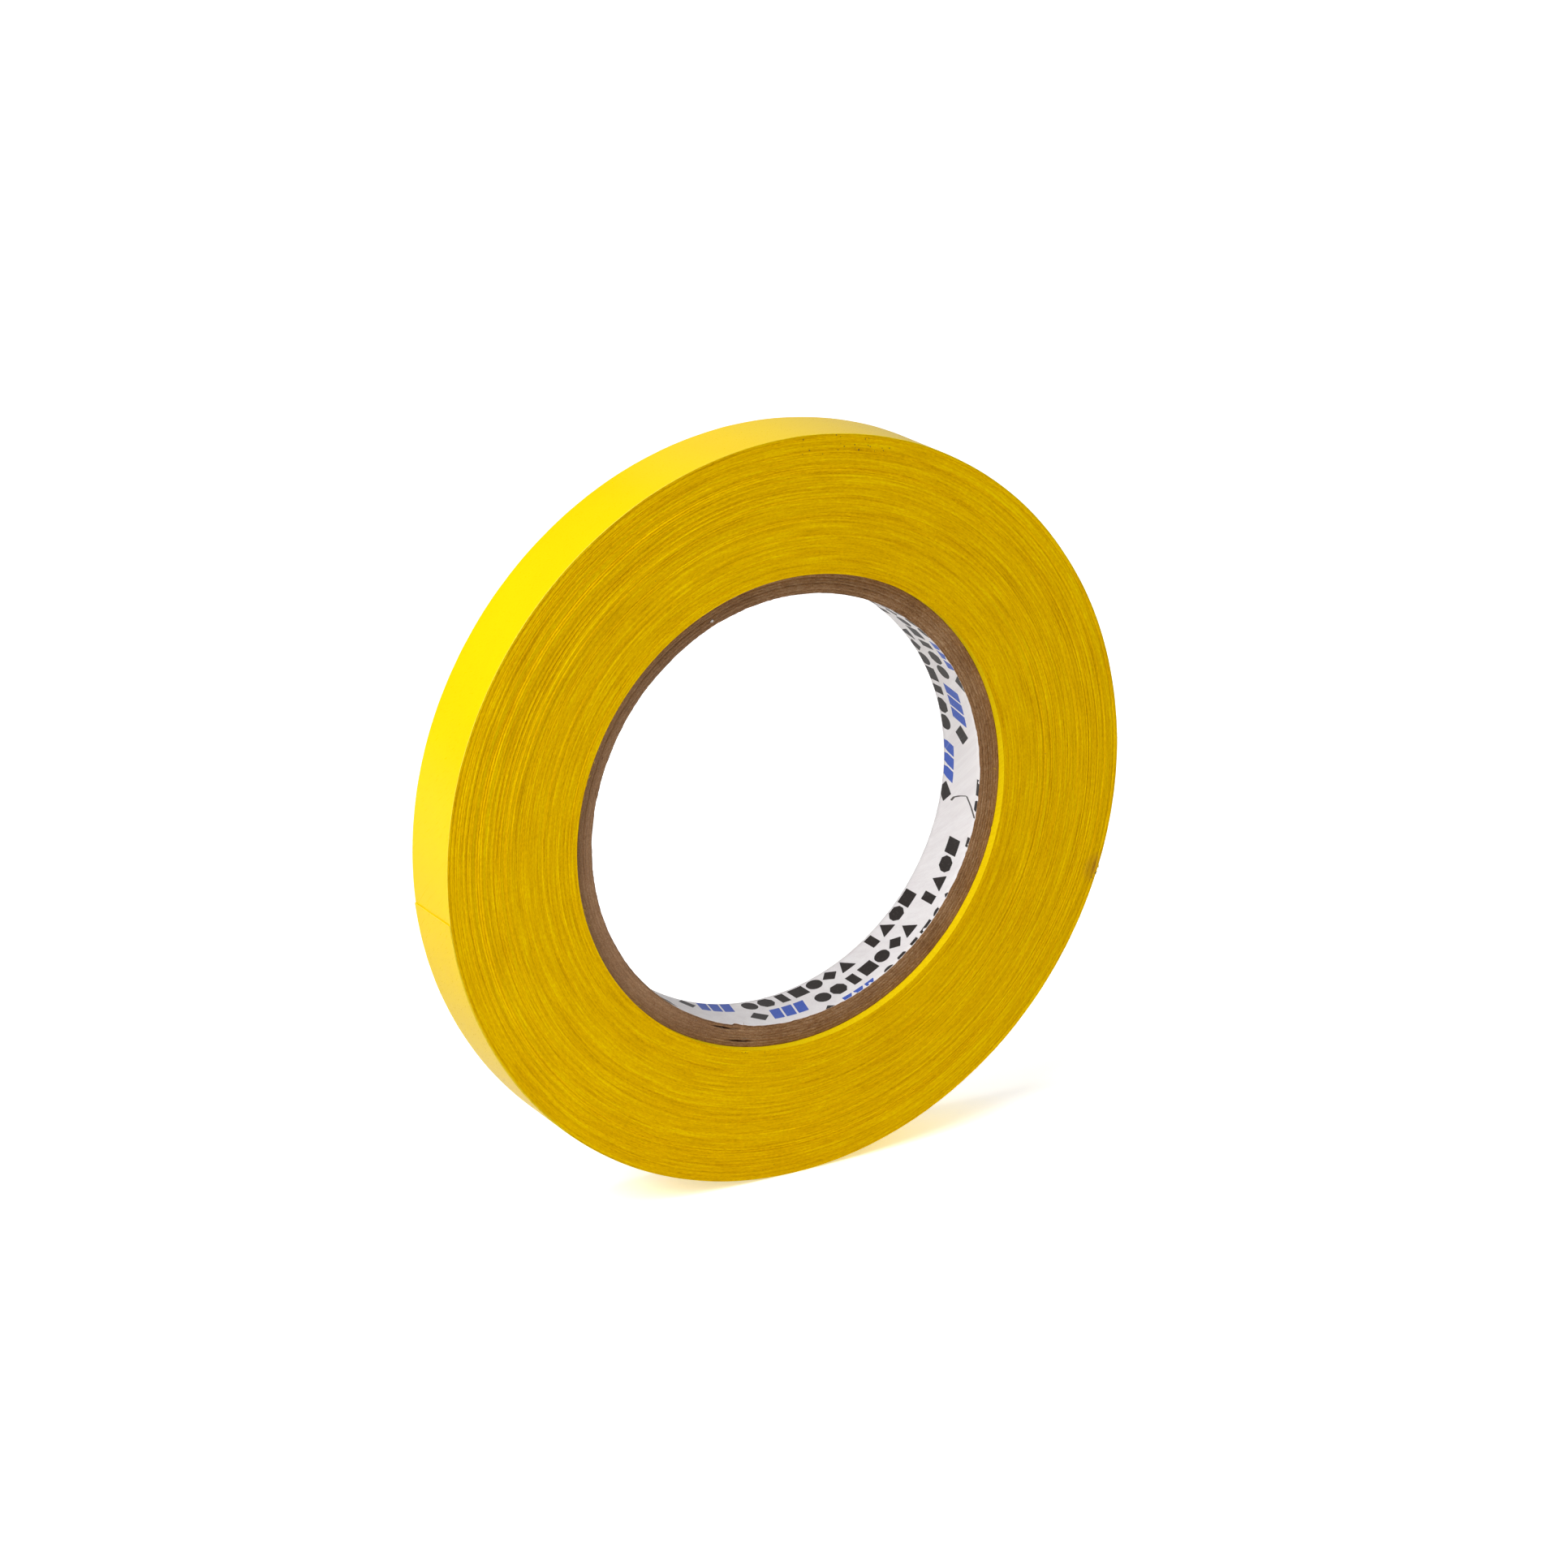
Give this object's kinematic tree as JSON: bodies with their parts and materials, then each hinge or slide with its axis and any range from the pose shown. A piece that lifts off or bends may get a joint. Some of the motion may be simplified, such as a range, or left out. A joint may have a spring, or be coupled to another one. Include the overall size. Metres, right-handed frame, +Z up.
{
  "type": "masking tape roll",
  "caption": "Roll of half-inch paper tape wound on a spiral-wound paperboard core, standing on its rim, with a free end that peels off.",
  "frame": {"origin": "centre of the bounding box, on the roll's axis; the roll stands on its rim", "axes": "+Z up with the roll standing on its rim, Y along the roll's axis with the front side face towards -Y, +X to the right seen from the front"},
  "size_m": [0.1312, 0.0136, 0.1313],
  "materials": {
    "liner_paper": "smooth white printed paper",
    "kraft_board": "matte brown kraft board",
    "kraft_board_pale": "matte pale brown kraft board",
    "wound_tape_yellow": "edges of wound tape, finely lined",
    "tape_yellow": "satin release coat"
  },
  "bodies": {
    "roll": {"core_liner": "liner_paper", "core_ply_1": "kraft_board", "core_ply_2": "kraft_board_pale", "core_ply_3": "kraft_board", "core_ply_4": "kraft_board_pale", "core_ply_5": "kraft_board", "core_ply_6": "kraft_board_pale", "core_ply_7": "kraft_board", "tape_pack": "wound_tape_yellow", "tape_outer_turn": "tape_yellow"},
    "lead_1": {"tape_lead_1": "tape_yellow"},
    "lead_2": {"tape_lead_2": "tape_yellow"},
    "lead_3": {"tape_lead_3": "tape_yellow"},
    "lead_4": {"tape_lead_4": "tape_yellow"}
  },
  "joints": [
    {"name": "peel", "type": "hinge", "parent": "roll", "child": "lead_1", "pos_m": [-0.04442, -0.0004, -0.04848], "axis": [0, -1, 0], "range_deg": [0, 65]},
    {"name": "uncurl_2", "type": "hinge", "parent": "lead_1", "child": "lead_2", "pos_m": [-0.05217, -0.0004, -0.04003], "axis": [0, -1, 0], "range_deg": [0, 7.8]},
    {"name": "uncurl_3", "type": "hinge", "parent": "lead_2", "child": "lead_3", "pos_m": [-0.05833, -0.0004, -0.03036], "axis": [0, -1, 0], "range_deg": [0, 7.8]},
    {"name": "uncurl_4", "type": "hinge", "parent": "lead_3", "child": "lead_4", "pos_m": [-0.06272, -0.0004, -0.01978], "axis": [0, -1, 0], "range_deg": [0, 7.8]}
  ],
  "couplings": [
    {"joint": "uncurl_2", "follows": "peel", "ratio": 0.12},
    {"joint": "uncurl_3", "follows": "peel", "ratio": 0.12},
    {"joint": "uncurl_4", "follows": "peel", "ratio": 0.12}
  ]
}
